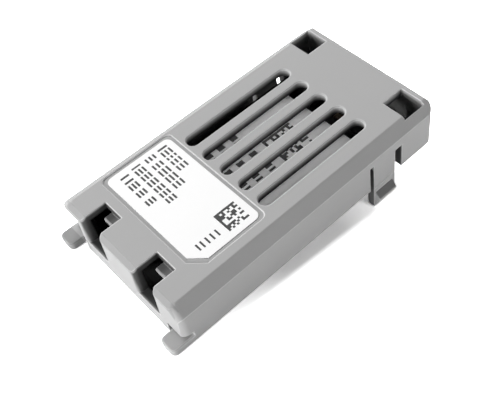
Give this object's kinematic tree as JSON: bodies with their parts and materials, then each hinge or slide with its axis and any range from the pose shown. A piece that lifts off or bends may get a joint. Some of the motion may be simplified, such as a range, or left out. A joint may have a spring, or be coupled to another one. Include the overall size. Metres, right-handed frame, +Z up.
{
  "type": "wifi module",
  "caption": "Light grey snap-in wifi module: a vented plastic housing with clip legs, front tongues, a white label and a radio board inside.",
  "frame": {"origin": "centre of the overall box in X and Y, at the height of the ends of the clip legs", "axes": "+X across the housing, to the right seen from the label end; +Y from the tongue end to the plug end; +Z up through the vented top"},
  "size_m": [0.048, 0.0838, 0.0202],
  "materials": {
    "housing_plastic": "fine satin texture, light grey ABS",
    "label_film": "satin white film",
    "board_laminate": "black solder mask",
    "shield_sheet": "tinned sheet",
    "label_paper": "matt white",
    "header_nylon": "natural nylon",
    "tinned_pins": "tinned",
    "chip_resin": "black moulded resin",
    "ferrite": "dark grey ferrite",
    "ceramic_body": "fired ceramic",
    "led_resin": "clear resin"
  },
  "bodies": {
    "root": {"cover": "housing_plastic", "base_cover": "housing_plastic", "top_label": "label_film", "circuit_board": "board_laminate", "radio_board": "board_laminate", "shield_can": "shield_sheet", "data_label": "label_paper", "plug_header": "header_nylon", "header_pins": "tinned_pins", "voltage_regulator": "chip_resin", "power_inductor": "ferrite", "input_fuse": "ceramic_body", "interface_chip": "chip_resin", "memory_chip": "chip_resin", "crystal": "shield_sheet", "tantalum_capacitors": "chip_resin", "transistors": "chip_resin", "ceramic_capacitors": "ceramic_body", "resistors": "chip_resin", "status_led": "led_resin", "antenna": "ceramic_body", "radio_chip": "chip_resin", "radio_memory": "chip_resin", "radio_crystal": "shield_sheet"}
  },
  "joints": []
}
